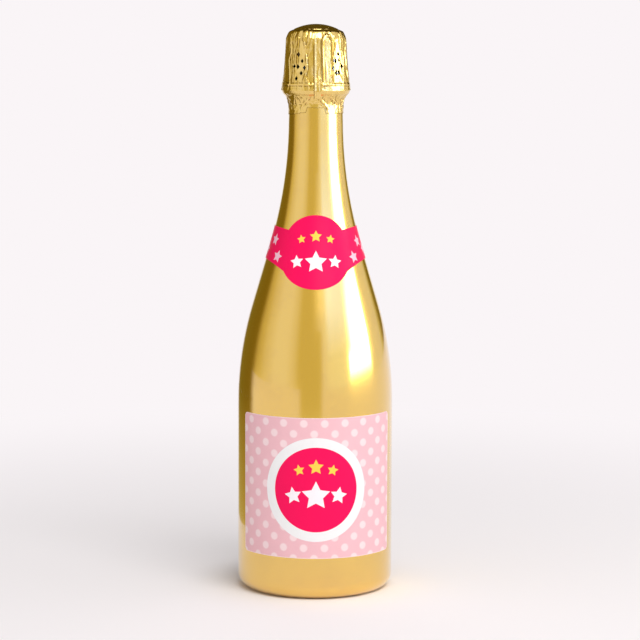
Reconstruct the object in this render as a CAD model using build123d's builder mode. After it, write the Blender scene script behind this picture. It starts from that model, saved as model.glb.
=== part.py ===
from build123d import *
import os
from math import asin, cos, degrees, radians, sin

# A 750 ml bottle for sparkling wine with its closure: glass, two paper labels, cork,
# wire cage, plaque, and the crimped foil with its tear strip.
# Millimetres, +Z up. The origin is the centre of the base, on the surface it stands on.
# The labels face -Y. Turns round the bottle are in degrees from -Y towards +X.
# Profile points are (distance from the axis, height).

# Glass, outside
body_radius = 44.15
glass_height = 300.0
heel_radius = 7.5
shoulder_start = 106.1
shoulder_radius = 198.6
shoulder_angle = 16.5
slope_length = 36.4
neck_sweep_radius = 247.4
neck_taper = 0.45

# Glass, the finish at the top of the neck: groove, ring and lip
neck_top_radius = 15.1
neck_top_height = 276.0
groove_radius = 14.5
groove_start = 280.0
ring_bottom = 283.3
ring_radius = 16.8
ring_slope = 1.7
ring_top = 287.0
lip_radius = 14.3
lip_bottom = 290.2
finish_roundings = [12.0, 3.0, 0.8, 1.0, 1.2, 1.0, 1.8]
mouth_rounding = 0.8

# Glass, inside
wall = 5.0
floor_thickness = 9.0
floor_valley_radius = 30.9
floor_rounding = 5.0
bore_radius = 8.85
bore_end = 268.0
inner_sweep_angle = 11.5

# Punt, the deep hollow under the base
punt_height = 30.0
punt_tip_radius = 13.0
punt_slope = 48.0
punt_floor = 8.5
punt_edge_rounding = 2.2

# Paper labels
paper = 0.15
glue = 0.08
front_label_width = 100.8
front_label_bottom = 22.5
front_label_top = 102.5
front_label_corner = 2.5
front_label_turn = 2.8
medallion_height = 193.4
medallion_half_width = 19.3
medallion_half_height = 21.5
collar_sweep_angle = 6.0
collar_top = 206.4
collar_low_edge = [(-45.0, 176.4), (-24.3, 182.0), (-10.7, 187.0), (9.6, 190.5), (45.0, 192.4)]

# Cork
cork_radius = bore_radius - 0.06
cork_bottom = 275.5
cork_disc_thickness = 5.5
cork_disc_chamfer = 0.4
cork_head_radius = 14.9
cork_head_profile = [
    (cork_radius, glass_height - 0.3),
    (9.2, glass_height + 0.05),
    (12.2, glass_height + 0.05),
    (cork_head_radius, 303.6),
    (cork_head_radius, 310.2),
    (12.0, 314.95),
    (10.2, 314.95),
    (6.0, 317.2),
    (0, 317.2),
]
cork_head_roundings = [0.1, 1.0, 2.5, 4.0, 0.6, 0.8, 4.0]

# Plaque, the domed cap on the cork
plaque_sheet = 0.25
plaque_crown = 319.25
plaque_dome_radius = 18.0
plaque_dome_edge = 11.3
plaque_radius = 13.1

# Cage
wire = 0.9
wire_sides = 8
leg_count = 4
leg_twist_pitch = 8.0
leg_first_twist = -30.0
twist_steps_per_turn = 12
cage_ring_radius = 12.45
cage_ring_height = 315.8
leg_route = [
    (12.45, 315.85),
    (13.35, 315.65),
    (14.2, 314.7),
    (15.75, 311.8),
    (16.1, 305.0),
    (17.1, 292.0),
    (17.95, 286.9),
    (18.1, 285.0),
    (17.55, 283.4),
]
leg_bends = [1.3, 4.0, 6.0, 20.0, 12.0, 8.0, 2.0]
eyelet_radius = 1.25
eyelet_centre_radius = 16.65
belt_radius = 16.3
belt_height = 282.5
belt_wire = 0.9
tail_turn = 27.0
tail_route = [(16.4, 282.6), (18.05, 284.6), (17.95, 286.9), (17.2, 290.6), (16.85, 294.2)]
tail_bends = [1.5, 6.0, 6.0]
tail_twist_pitch = 6.0
eye_foot = (16.85, 294.0)
eye_head = (16.15, 305.0)
eye_width = 5.6

# Foil
foil = 0.2
hood_crown = 320.2
hood_dome_radius = 28.4
hood_disc_radius = 12.3
hood_profile = [
    (10.6, 317.88),
    (15.2, 315.8),
    (17.0, 312.2),
    (17.35, 305.0),
    (18.35, 292.0),
    (19.45, 285.5),
    (19.7, 283.3),
]
hood_roundings = [2.5, 8.0, 20.0, 15.0, 8.0]
skirt_profile = [(19.35, 282.95), (18.3, 281.3), (16.75, 279.3), (15.7, 276.4), (15.55, 271.3)]
skirt_roundings = [3.0, 3.0, 3.0]
hem_points = 12
hem_depth = 1.3
vent_turns = (-33.0, 43.0, 147.0, 223.0)
vent_height = 296.5
vent_places = [(0, 6.8), (-2.4, 3.4), (2.4, 3.4), (-4.2, 0), (0, 0), (4.2, 0), (-2.1, -3.4), (2.1, -3.4), (0, -6.8)]
vent_width = 1.7
vent_tall = 2.6

# Tear strip
strip_width = 3.9
strip_turn = 2.6
strip_sheet = 0.2
strip_profile = [
    (17.3, 312.2),
    (17.65, 305.0),
    (18.65, 292.0),
    (19.78, 285.5),
    (20.0, 282.9),
    (18.9, 280.6),
    (18.4, 278.8),
]
strip_roundings = [20.0, 15.0, 8.0, 1.5, 2.0]


def upright(turn):
    """The plane through the axis at a turn round the bottle: x outwards, y upwards."""
    outwards = (sin(radians(turn)), -cos(radians(turn)), 0)
    return Plane(origin=(0, 0, 0), x_dir=outwards, z_dir=(outwards[1], -outwards[0], 0))


def facing(turn, height):
    """The plane on the axis that faces a turn round the bottle: x sideways, z outwards."""
    sideways = (cos(radians(turn)), sin(radians(turn)), 0)
    return Plane(origin=(0, 0, height), x_dir=sideways, z_dir=(sideways[1], -sideways[0], 0))


def pair_corners(strand):
    """Corners of the section of two wires, of that radius, that lie side by side."""
    right = [(strand + strand * cos(radians(turn)), strand * sin(radians(turn))) for turn in (-95, -32, 32, 95)]
    left = [(-x, -y) for x, y in right]
    return [(0, -strand / 2), *right, (0, strand / 2), *left]


# The space for the wine, as one solid, to take out of the glass and to measure.
with BuildPart() as cavity:
    with BuildSketch(Plane.XZ) as cavity_outline:
        with BuildLine() as inner_line:
            push_up = JernArc((0, punt_height + punt_floor), (1, 0), punt_tip_radius + punt_floor, -punt_slope)
            basin = FilletPolyline(
                push_up @ 1,
                (floor_valley_radius, floor_thickness),
                (body_radius - wall, floor_thickness),
                (body_radius - wall, shoulder_start),
                radius=floor_rounding,
            )
            inner_shoulder = JernArc(basin @ 1, (0, 1), shoulder_radius - wall, shoulder_angle)
            inner_slope = PolarLine(inner_shoulder @ 1, slope_length, direction=inner_shoulder % 1)
            inner_sweep = JernArc(inner_slope @ 1, inner_slope % 1, neck_sweep_radius + wall, -inner_sweep_angle)
            throat = Spline(inner_sweep @ 1, (bore_radius, bore_end), tangents=[inner_sweep % 1, (0, 1)])
            Polyline(throat @ 1, (bore_radius, glass_height), (0, glass_height), push_up @ 0)
        make_face()
    revolve(axis=Axis.Z)
print("Inside volume to the brim, ml:", round(cavity.part.volume / 1000))

# The bottle: outside, punt and inside are all turned shapes.
with BuildPart() as glass_bottle:
    with BuildSketch(Plane.XZ) as glass_outline:
        with BuildLine() as outer_line:
            base = Line((0, 0), (body_radius - heel_radius, 0))
            heel = JernArc(base @ 1, base % 1, heel_radius, 90)
            side = Line(heel @ 1, (body_radius, shoulder_start))
            shoulder = JernArc(side @ 1, side % 1, shoulder_radius, shoulder_angle)
            slope = PolarLine(shoulder @ 1, slope_length, direction=shoulder % 1)
            neck_sweep = JernArc(slope @ 1, slope % 1, neck_sweep_radius, neck_taper - shoulder_angle)
            finish = FilletPolyline(
                neck_sweep @ 1,
                (neck_top_radius, neck_top_height),
                (groove_radius, groove_start),
                (groove_radius, ring_bottom),
                (ring_radius, ring_bottom + ring_slope),
                (ring_radius, ring_top),
                (lip_radius, lip_bottom),
                (lip_radius, glass_height),
                (0, glass_height),
                radius=finish_roundings,
            )
            Line(finish @ 1, base @ 0)
        make_face()
    revolve(axis=Axis.Z)
    with BuildSketch(Plane.XZ) as punt_outline:
        with BuildLine() as punt_line:
            tip = JernArc((0, punt_height), (1, 0), punt_tip_radius, -punt_slope)
            cone = PolarLine(tip @ 1, Axis.X, direction=tip % 1)
            Polyline(cone @ 1, (0, 0), (0, punt_height))
        make_face()
    revolve(axis=Axis.Z, mode=Mode.SUBTRACT)
    punt_edge = glass_bottle.edges().filter_by(GeomType.CIRCLE).group_by(Axis.Z)[0].sort_by(SortBy.RADIUS)[0]
    fillet(punt_edge, punt_edge_rounding)
    add(cavity.part, mode=Mode.SUBTRACT)
    mouth_edge = glass_bottle.edges().filter_by(GeomType.CIRCLE).group_by(Axis.Z)[-1].sort_by(SortBy.RADIUS)[0]
    fillet(mouth_edge, mouth_rounding)
glass_bottle.part.label = "glass_bottle"

# The front label: a sheet wrapped on the body, with rounded corners.
front_label_radius = body_radius + glue + paper / 2
front_label_arc = degrees(front_label_width / front_label_radius)
with BuildPart() as front_label:
    with BuildSketch(upright(front_label_turn - front_label_arc / 2)):
        with Locations((front_label_radius, (front_label_bottom + front_label_top) / 2)):
            Rectangle(paper, front_label_top - front_label_bottom)
    revolve(axis=Axis.Z, revolution_arc=front_label_arc)
    label_corners = front_label.edges().filter_by(lambda edge: edge.length < paper * 2)
    fillet(label_corners, front_label_corner)
front_label.part.label = "front_label"

# The outline of the neck label: an upright round medallion, and a collar that narrows to the back.
slope_out = Vector(cos(radians(shoulder_angle)), sin(radians(shoulder_angle)))
slope_foot = slope @ 0
medallion_radius = slope_foot.X - (medallion_height - slope_foot.Y) * sin(radians(shoulder_angle))
medallion_plane = Plane(
    origin=(0, -medallion_radius, medallion_height),
    x_dir=(1, 0, 0),
    z_dir=(0, -slope_out.X, slope_out.Y),
)
with BuildPart() as neck_label_outline:
    with BuildSketch(medallion_plane):
        Ellipse(medallion_half_width, medallion_half_height)
    extrude(amount=medallion_half_width, both=True)
    with BuildSketch(Plane.YZ):
        with BuildLine():
            low_edge = Spline(*collar_low_edge)
            Polyline(low_edge @ 0, ((low_edge @ 0).X, collar_top), ((low_edge @ 1).X, collar_top), low_edge @ 1)
        make_face()
    extrude(amount=body_radius, both=True)

# The neck label: a sheet on the slope of the shoulder, cut to that outline.
with BuildPart() as neck_label:
    with BuildSketch(Plane.XZ):
        with BuildLine():
            inside = PolarLine(slope_foot + slope_out * glue, slope_length, direction=slope % 1)
            inside_sweep = JernArc(inside @ 1, inside % 1, neck_sweep_radius - glue, -collar_sweep_angle)
            outside = PolarLine(slope_foot + slope_out * (glue + paper), slope_length, direction=slope % 1)
            outside_sweep = JernArc(outside @ 1, outside % 1, neck_sweep_radius - glue - paper, -collar_sweep_angle)
            Line(inside @ 0, outside @ 0)
            Line(inside_sweep @ 1, outside_sweep @ 1)
        make_face()
    revolve(axis=Axis.Z)
    add(neck_label_outline.part, mode=Mode.INTERSECT)
neck_label.part.label = "neck_label"

# The cork: a pressed mushroom, with two discs of solid cork glued under it.
cork_body_bottom = cork_bottom + 2 * cork_disc_thickness
with BuildPart() as cork_body:
    with BuildSketch(Plane.XZ):
        with BuildLine():
            head = FilletPolyline(*cork_head_profile, radius=cork_head_roundings)
            Polyline(head @ 1, (0, cork_body_bottom), (cork_radius, cork_body_bottom), head @ 0)
        make_face()
    revolve(axis=Axis.Z)
cork_body.part.label = "cork_body"

with BuildPart() as cork_disc_upper:
    with BuildSketch(Plane.XY.offset(cork_bottom + cork_disc_thickness)):
        Circle(cork_radius)
    extrude(amount=cork_disc_thickness)
cork_disc_upper.part.label = "cork_disc_upper"

with BuildPart() as cork_disc_lower:
    with BuildSketch(Plane.XY.offset(cork_bottom)):
        Circle(cork_radius)
    extrude(amount=cork_disc_thickness)
    chamfer(cork_disc_lower.faces().sort_by(Axis.Z)[0].edges(), cork_disc_chamfer)
cork_disc_lower.part.label = "cork_disc_lower"

# The plaque: a stamped tinplate dome with a flat flange for the wire ring.
dome_angle = degrees(asin(plaque_dome_edge / plaque_dome_radius))
with BuildPart() as cage_plaque:
    with BuildSketch(Plane.XZ):
        with BuildLine():
            dome = JernArc((0, plaque_crown), (1, 0), plaque_dome_radius, -dome_angle)
            Line(dome @ 1, (plaque_radius, (dome @ 1).Y))
            offset(amount=plaque_sheet, side=Side.RIGHT)
        make_face()
    revolve(axis=Axis.Z)
cage_plaque.part.label = "cage_plaque"

# One leg of the cage: two wires twisted round each other, down to the eyelet.
with BuildLine(upright(0)) as leg_line:
    FilletPolyline(*leg_route, radius=leg_bends)
leg_path = leg_line.wire()
leg_steps = round(leg_path.length / leg_twist_pitch * twist_steps_per_turn)
with BuildPart() as cage_leg:
    for step in range(leg_steps + 1):
        share = step / leg_steps
        twist = leg_first_twist + step * 360 / twist_steps_per_turn
        place = Plane(origin=leg_path @ share, x_dir=(1, 0, 0), z_dir=leg_path % share)
        with BuildSketch(place.rotated((0, 0, twist))):
            Polygon(*pair_corners(wire / 2), align=None)
    loft(ruled=True)

# The eyelet at the foot of a leg, which the belt wire runs through.
with BuildPart() as leg_eyelet:
    with BuildSketch(Plane.XY.offset(belt_height)):
        with Locations((0, -eyelet_centre_radius - eyelet_radius)):
            RegularPolygon(wire / 2, wire_sides)
    revolve(axis=Axis((0, -eyelet_centre_radius, belt_height), (1, 0, 0)))

# The cage: the ring that holds the plaque, and its legs.
with BuildPart() as cage_frame:
    with BuildSketch(upright(0)):
        with Locations((cage_ring_radius, cage_ring_height)):
            RegularPolygon(wire / 2, wire_sides)
    revolve(axis=Axis.Z)
    with PolarLocations(0, leg_count):
        add(cage_leg.part)
        add(leg_eyelet.part)
cage_frame.part.label = "cage_frame"

# The belt: a wire ring through the eyelets. Its ends are twisted into a tail that lies
# folded up against the cork, and close in a flat eye, the key that undoes the cage.
with BuildLine(upright(tail_turn)) as tail_line:
    FilletPolyline(*tail_route, radius=tail_bends)
tail_path = tail_line.wire()
tail_steps = round(tail_path.length / tail_twist_pitch * twist_steps_per_turn)
tail_sideways = (cos(radians(tail_turn)), sin(radians(tail_turn)), 0)
with BuildPart() as belt_tail:
    for step in range(tail_steps + 1):
        share = step / tail_steps
        place = Plane(origin=tail_path @ share, x_dir=tail_sideways, z_dir=tail_path % share)
        with BuildSketch(place.rotated((0, 0, step * 360 / twist_steps_per_turn))):
            Polygon(*pair_corners(belt_wire / 2), align=None)
    loft(ruled=True)

eye_low = upright(tail_turn).from_local_coords(eye_foot)
eye_high = upright(tail_turn).from_local_coords(eye_head)
eye_plane = Plane(origin=eye_low, x_dir=eye_high - eye_low, z_dir=Vector(tail_sideways).cross(eye_high - eye_low))
eye_length = (eye_high - eye_low).length
eye_bend = eye_width / 2
with BuildPart() as belt_eye:
    with BuildLine(eye_plane) as eye_line:
        eye_side = Line((eye_bend, -eye_bend), (eye_length - eye_bend, -eye_bend))
        eye_top = JernArc(eye_side @ 1, eye_side % 1, eye_bend, 180)
        eye_return = Line(eye_top @ 1, (eye_bend, eye_bend))
        JernArc(eye_return @ 1, eye_return % 1, eye_bend, 180)
    with BuildSketch(Plane(origin=eye_side @ 0, z_dir=eye_side % 0)):
        RegularPolygon(belt_wire / 2, wire_sides)
    sweep(path=eye_line.wire())

with BuildPart() as cage_belt:
    with BuildSketch(upright(0)):
        with Locations((belt_radius, belt_height)):
            RegularPolygon(belt_wire / 2, wire_sides)
    revolve(axis=Axis.Z)
    add(belt_tail.part)
    add(belt_eye.part)
cage_belt.part.label = "cage_belt"

# A cluster of small diamond holes, as one cutter, to let the air out from under the foil.
with BuildPart() as vent_cluster:
    with BuildSketch(facing(0, vent_height)):
        with Locations(*vent_places):
            Polygon((vent_width / 2, 0), (0, vent_tall / 2), (-vent_width / 2, 0), (0, -vent_tall / 2), align=None)
    extrude(amount=hood_profile[-1][0] + foil)

# The hood: the foil bell over cork and cage.
with BuildPart() as foil_hood:
    with BuildSketch(Plane.XZ):
        with BuildLine():
            FilletPolyline(*hood_profile, radius=hood_roundings)
            offset(amount=foil, side=Side.RIGHT)
        make_face()
    revolve(axis=Axis.Z)
    for turn in vent_turns:
        add(vent_cluster.part.rotate(Axis.Z, turn), mode=Mode.SUBTRACT)
foil_hood.part.label = "foil_hood"

# The disc that closes the top of the hood.
disc_angle = degrees(asin(hood_disc_radius / hood_dome_radius))
with BuildPart() as foil_top_disc:
    with BuildSketch(Plane.XZ):
        with BuildLine():
            JernArc((0, hood_crown), (1, 0), hood_dome_radius, -disc_angle)
            offset(amount=foil, side=Side.RIGHT)
        make_face()
    revolve(axis=Axis.Z)
foil_top_disc.part.label = "foil_top_disc"

# The skirt: the band of the same foil below the tear line, crimped on the neck. Its hem is pinked.
with BuildPart() as hem_notch:
    with BuildSketch(facing(0, skirt_profile[-1][1])):
        half_pitch = skirt_profile[-1][0] * sin(radians(180 / hem_points))
        Polygon((-half_pitch, -foil), (half_pitch, -foil), (0, hem_depth), align=None)
    extrude(amount=skirt_profile[0][0])

with BuildPart() as foil_skirt:
    with BuildSketch(Plane.XZ):
        with BuildLine():
            FilletPolyline(*skirt_profile, radius=skirt_roundings)
            offset(amount=foil, side=Side.RIGHT)
        make_face()
    revolve(axis=Axis.Z)
    with PolarLocations(0, hem_points):
        add(hem_notch.part, mode=Mode.SUBTRACT)
foil_skirt.part.label = "foil_skirt"

# The tear strip: it lies down the front of the hood and ends in a free, squared tab.
strip_arc = degrees(strip_width / strip_profile[2][0])
with BuildPart() as tear_strip:
    with BuildSketch(upright(strip_turn - strip_arc / 2)):
        with BuildLine():
            FilletPolyline(*strip_profile, radius=strip_roundings)
            offset(amount=strip_sheet, side=Side.LEFT)
        make_face()
    revolve(axis=Axis.Z, revolution_arc=strip_arc)
tear_strip.part.label = "tear_strip"

os.makedirs("parts", exist_ok=True)
for piece in (
    glass_bottle,
    front_label,
    neck_label,
    cork_body,
    cork_disc_upper,
    cork_disc_lower,
    cage_plaque,
    cage_frame,
    cage_belt,
    foil_hood,
    foil_top_disc,
    foil_skirt,
    tear_strip,
):
    print(piece.part.label, piece.part.is_valid, round(piece.part.volume, 1))
    export_step(piece.part, f"parts/{piece.part.label}.step")
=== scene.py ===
import bmesh
import bpy
import numpy as np
from functools import reduce
from math import acos, atan2, cos, degrees, exp, hypot, pi, radians, sin, sqrt, tan
from mathutils import Matrix, Vector, noise


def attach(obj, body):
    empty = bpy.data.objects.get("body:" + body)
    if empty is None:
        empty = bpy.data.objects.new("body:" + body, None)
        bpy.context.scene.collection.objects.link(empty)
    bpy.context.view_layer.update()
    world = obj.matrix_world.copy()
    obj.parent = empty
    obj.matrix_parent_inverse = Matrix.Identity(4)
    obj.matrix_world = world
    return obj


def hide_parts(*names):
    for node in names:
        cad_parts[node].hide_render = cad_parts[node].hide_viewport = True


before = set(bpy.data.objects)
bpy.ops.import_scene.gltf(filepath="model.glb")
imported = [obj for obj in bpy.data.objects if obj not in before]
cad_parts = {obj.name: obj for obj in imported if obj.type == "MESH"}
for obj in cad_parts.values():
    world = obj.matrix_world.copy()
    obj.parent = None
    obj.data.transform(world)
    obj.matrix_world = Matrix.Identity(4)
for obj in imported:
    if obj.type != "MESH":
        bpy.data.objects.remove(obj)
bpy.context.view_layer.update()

# Camera
# A long lens, level with the top of the foil and looking a little down at the middle of the bottle.
camera_data = bpy.data.cameras.new("camera")
camera_data.sensor_width = 36.0
camera_data.lens = 131.6
camera_data.clip_end = 20.0
camera = bpy.data.objects.new("camera", camera_data)
camera.location = (0.0022, -1.323, 0.3117)
camera.rotation_euler = (radians(90 - 6.846), radians(-0.17), 0)
bpy.context.scene.collection.objects.link(camera)
bpy.context.scene.camera = camera
bpy.context.scene.view_settings.view_transform = "Standard"

# Glass bottle
# A 750 ml bottle for sparkling wine: thick green glass, blown and pressed, with a deep punt under
# the base and a ring below the lip. Outside it is sprayed with a glossy gold lacquer up to the
# foil, so that only the mouth, the ring and the punt show bare glass.
mm = 0.001
body_radius = 44.15 * mm
glass_height = 300 * mm
heel_radius = 7.5 * mm
shoulder_start = 106.1 * mm
shoulder_radius = 198.6 * mm
shoulder_angle = radians(16.5)
slope_length = 36.4 * mm
neck_sweep_radius = 247.4 * mm
neck_taper = radians(0.45)
wall = 5 * mm
punt_angle = radians(48)
lip_radius, bore_radius, bore_foot = 14.3 * mm, 8.85 * mm, 268 * mm
basin_radius, basin_height = 30.9 * mm, 9 * mm
lacquer_top = 279.4 * mm


def swing(line, heading, radius, angle, step=radians(1.5)):
    """Adds an arc to a line of (distance from the axis, height) points, and returns its new heading."""
    start = Vector(line[-1])
    side = 1 if angle > 0 else -1
    centre = start + side * radius * Vector((-sin(heading), cos(heading)))
    count = max(2, round(abs(angle) / step))
    for i in range(1, count + 1):
        turned_by = heading + angle * i / count
        line.append(tuple(centre - side * radius * Vector((-sin(turned_by), cos(turned_by)))))
    return heading + angle


def rounded(corners, roundings, step=radians(12)):
    """The corners of a line with each inner one rounded to its own radius."""
    line = [tuple(corners[0])]
    for before, corner, after, radius in zip(corners, corners[1:], corners[2:], roundings):
        corner = Vector(corner)
        back = (Vector(before) - corner).normalized()
        ahead = (Vector(after) - corner).normalized()
        turn = pi - back.angle(ahead)
        reach = radius * tan(turn / 2)
        centre = corner + (back + ahead).normalized() * radius / cos(turn / 2)
        first = corner + back * reach - centre
        way = 1 if back.x * ahead.y - back.y * ahead.x < 0 else -1
        count = max(2, round(turn / step))
        for i in range(count + 1):
            line.append(tuple(centre + Matrix.Rotation(way * turn * i / count, 2) @ first))
    line.append(tuple(corners[-1]))
    return line


def scaled(route):
    """A route in millimetres, in metres."""
    return [(r * mm, z * mm) for r, z in route]


# The outside, from the edge of the punt up to the lip
outside = [(body_radius - heel_radius, 0.0)]
heading = swing(outside, 0, heel_radius, pi / 2, radians(6))
outside += [(body_radius, heel_radius + (shoulder_start - heel_radius) * i / 12) for i in range(1, 13)]
heading = swing(outside, heading, shoulder_radius, shoulder_angle)
slope_foot = outside[-1]
for i in range(1, 7):
    step_along = slope_length * i / 6
    outside.append((slope_foot[0] + step_along * cos(heading), slope_foot[1] + step_along * sin(heading)))
swing(outside, heading, neck_sweep_radius, neck_taper - shoulder_angle, radians(0.8))
ring = scaled([(15.1, 276), (14.5, 280), (14.5, 283.3), (16.8, 285), (16.8, 287), (14.3, 290.2)])
lip = [(lip_radius, glass_height), (bore_radius, glass_height)]
finish = rounded([outside[-1]] + ring + lip, [r * mm for r in (12, 3, 0.8, 1, 1.2, 1, 1.8)])
outside += finish[1:-1]

# The punt from its tip to the rest ring, and the inside from the mouth down to the pushed-up floor
punt = [(0.0, 30 * mm)]
swing(punt, 0, 13 * mm, -punt_angle, radians(4))
punt_foot = punt[-1][0] + punt[-1][1] / tan(punt_angle)
punt = punt[:-1] + rounded([punt[-1], (punt_foot, 0), outside[0]], [2.2 * mm])[:-1]
mouth = rounded([outside[-1], (bore_radius, glass_height), (bore_radius, bore_foot)], [0.8 * mm])[1:]
inside = [(0.0, 38.5 * mm)]
swing(inside, 0, 21.5 * mm, -punt_angle, radians(4))
inner_wall = body_radius - wall
basin = [inside[-1], (basin_radius, basin_height), (inner_wall, basin_height), (inner_wall, shoulder_start)]
inside = inside[:-1] + rounded(basin, [5 * mm, 5 * mm])
heading = swing(inside, pi / 2, shoulder_radius - wall, shoulder_angle)
inside.append((inside[-1][0] + slope_length * cos(heading), inside[-1][1] + slope_length * sin(heading)))
heading = swing(inside, heading, neck_sweep_radius + wall, -radians(11.5))
throat_start, throat_end = Vector(inside[-1]), Vector(mouth[-1])
throat_handle = (throat_end - throat_start).length / 3
for i in range(1, 12):
    t = i / 12
    leaving = throat_start + throat_handle * Vector((cos(heading), sin(heading)))
    arriving = throat_end - Vector((0, throat_handle))
    a, b, c = throat_start.lerp(leaving, t), leaving.lerp(arriving, t), arriving.lerp(throat_end, t)
    inside.append(tuple(a.lerp(b, t).lerp(b.lerp(c, t), t)))
outer_heights = [z for r, z in outside]
outer_radii = [r for r, z in outside]


def glass_radius(height):
    """The outside radius of the glass at a height."""
    return float(np.interp(height, outer_heights, outer_radii))


class Output:
    """An output of a node. It can be joined to an input and takes plain arithmetic.

    The node's other outputs are had by name, as in coat["Scuff"].
    """

    def __init__(self, node, label=0):
        self.node, self.socket, self.tree = node, node.outputs[label], node.id_data

    def __getitem__(self, label):
        return Output(self.node, label)

    def math(self, operation, *others):
        """What a Math node makes of this and the others."""
        return add(self.tree, "ShaderNodeMath", dict(enumerate((self, *others))), operation=operation)

    def __add__(self, other):
        return self.math("ADD", other)

    def __sub__(self, other):
        return self.math("SUBTRACT", other)

    def __mul__(self, other):
        return self.math("MULTIPLY", other)

    def __truediv__(self, other):
        return self.math("DIVIDE", other)


def feed(node, inputs):
    """Joins each input to an output, or sets it to a value."""
    for label, value in inputs.items():
        if isinstance(value, Output):
            node.id_data.links.new(value.socket, node.inputs[label])
        else:
            node.inputs[label].default_value = value


def add(tree, kind, inputs=None, **settings):
    """A new node with its settings and inputs, given back as its first output."""
    node = tree.nodes.new(kind)
    for label, value in settings.items():
        setattr(node, label, value)
    feed(node, inputs or {})
    return Output(node)


def new_tree(name, kind, inputs, outputs):
    """A node group with named inputs and outputs: the tree, what goes in, and the node for what comes out."""
    tree = bpy.data.node_groups.new(name, kind + "NodeTree")
    for way, sockets in (("INPUT", inputs), ("OUTPUT", outputs)):
        for label, holds in sockets.items():
            tree.interface.new_socket(label, in_out=way, socket_type="NodeSocket" + holds)
    return tree, Output(tree.nodes.new("NodeGroupInput")), tree.nodes.new("NodeGroupOutput")


def delivered(tree, mesh, given, result):
    """Ends a geometry tree: its mesh is made real, gets its material and goes out."""
    mesh = add(tree, "GeometryNodeRealizeInstances", {"Geometry": mesh})
    mesh = add(tree, "GeometryNodeSetMaterial", {"Geometry": mesh, "Material": given["Material"]})
    feed(result, {"Mesh": mesh})


# The lathe: sweeps an outline of (distance from the axis, height) round the axis
lathe, given, result = new_tree(
    "turned_on_the_axis",
    "Geometry",
    {"Outline": "Geometry", "Sides": "Int", "Material": "Material"},
    {"Mesh": "Geometry"},
)
lathe_arm = 0.1
circle = add(lathe, "GeometryNodeCurvePrimitiveCircle", {"Resolution": given["Sides"], "Radius": lathe_arm})
on_the_arm = {
    "Geometry": add(lathe, "GeometryNodeMeshToCurve", {"Mesh": given["Outline"]}),
    "Translation": (-lathe_arm, 0, 0),
    "Scale": (1, -1, 1),
}
on_the_arm = add(lathe, "GeometryNodeTransform", on_the_arm)
swept = add(lathe, "GeometryNodeCurveToMesh", {"Curve": circle, "Profile Curve": on_the_arm})
weld_distance = 2e-6
closed = add(lathe, "GeometryNodeMergeByDistance", {"Geometry": swept, "Distance": weld_distance})
delivered(lathe, add(lathe, "GeometryNodeSetShadeSmooth", {"Geometry": closed}), given, result)


def grown(name, start, tree, values, crease=35):
    """The plain mesh that a Geometry Nodes tree makes from start, with the tree's named inputs set."""
    seed = bpy.data.objects.new(name + "_seed", start)
    bpy.context.scene.collection.objects.link(seed)
    modifier = seed.modifiers.new("tree", "NODES")
    modifier.node_group = tree
    for label, value in values.items():
        modifier[tree.interface.items_tree[label].identifier] = value
    evaluated = seed.evaluated_get(bpy.context.evaluated_depsgraph_get())
    mesh = bpy.data.meshes.new_from_object(evaluated)
    bpy.data.objects.remove(seed)
    return finished(name, mesh, crease)


def finished(name, mesh, crease=35):
    """An object for a mesh: faces outwards, smooth but for creases sharper than an angle."""
    solid = bmesh.new()
    solid.from_mesh(mesh)
    bmesh.ops.recalc_face_normals(solid, faces=solid.faces)
    solid.to_mesh(mesh)
    solid.free()
    mesh.name = name
    mesh.shade_smooth()
    mesh.set_sharp_from_angle(angle=radians(crease))
    made = bpy.data.objects.new(name, mesh)
    bpy.context.scene.collection.objects.link(made)
    return made


def turned(name, outline, material, sides=128, crease=35):
    """A piece turned on the axis from its outline."""
    line = bpy.data.meshes.new(name + "_outline")
    corners = [(r, z, 0) for r, z in outline]
    line.from_pydata(corners, [(i, i + 1) for i in range(len(corners) - 1)], [])
    return grown(name, line, lathe, {"Sides": sides, "Material": material}, crease)


def new_material(name):
    """A material with its Principled shader, ready for its nodes."""
    material = bpy.data.materials.new(name)
    material.use_nodes = True
    return material, material.node_tree, material.node_tree.nodes["Principled BSDF"]


def surface(shader, colour, roughness, normal, **constants):
    """Gives a Principled shader what varies over the piece, and its constants."""
    feed(shader, {"Base Color": colour, "Roughness": roughness, "Normal": normal, **constants})


def blended(share, low, high):
    """The colour that lies a share of the way from low to high."""
    return add(share.tree, "ShaderNodeMix", {0: share, 6: low, 7: high}, data_type="RGBA")[2]


def ranged(value, low, high, at_low=0.0, at_high=1.0, shape="LINEAR"):
    """A value that goes from at_low to at_high while another goes from low to high."""
    ends = {"From Min": low, "From Max": high, "To Min": at_low, "To Max": at_high}
    return add(value.tree, "ShaderNodeMapRange", {"Value": value, **ends}, interpolation_type=shape)


def own_place(tree):
    """Where a point lies in its object's own space."""
    return add(tree, "ShaderNodeTexCoord")["Object"]


def clouds(place, scale, detail=2.0, roughness=0.5, distortion=0.0):
    """Noise at a place: a value round a half, and a colour."""
    inputs = {"Scale": scale, "Detail": detail, "Roughness": roughness, "Distortion": distortion}
    return add(place.tree, "ShaderNodeTexNoise", {"Vector": place, **inputs})


def bumps(height, strength, distance=0.2 * mm):
    """The normal of a surface that is raised by a height."""
    return add(height.tree, "ShaderNodeBump", {"Height": height, "Strength": strength, "Distance": distance})


def paint(red, green, blue):
    """A colour as it is seen, 0 to 255, as the linear colour that a socket takes."""
    shares = (channel / 255 for channel in (red, green, blue))
    return tuple(((c + 0.055) / 1.055) ** 2.4 if c > 0.04 else c / 12.92 for c in shares) + (1,)


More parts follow.
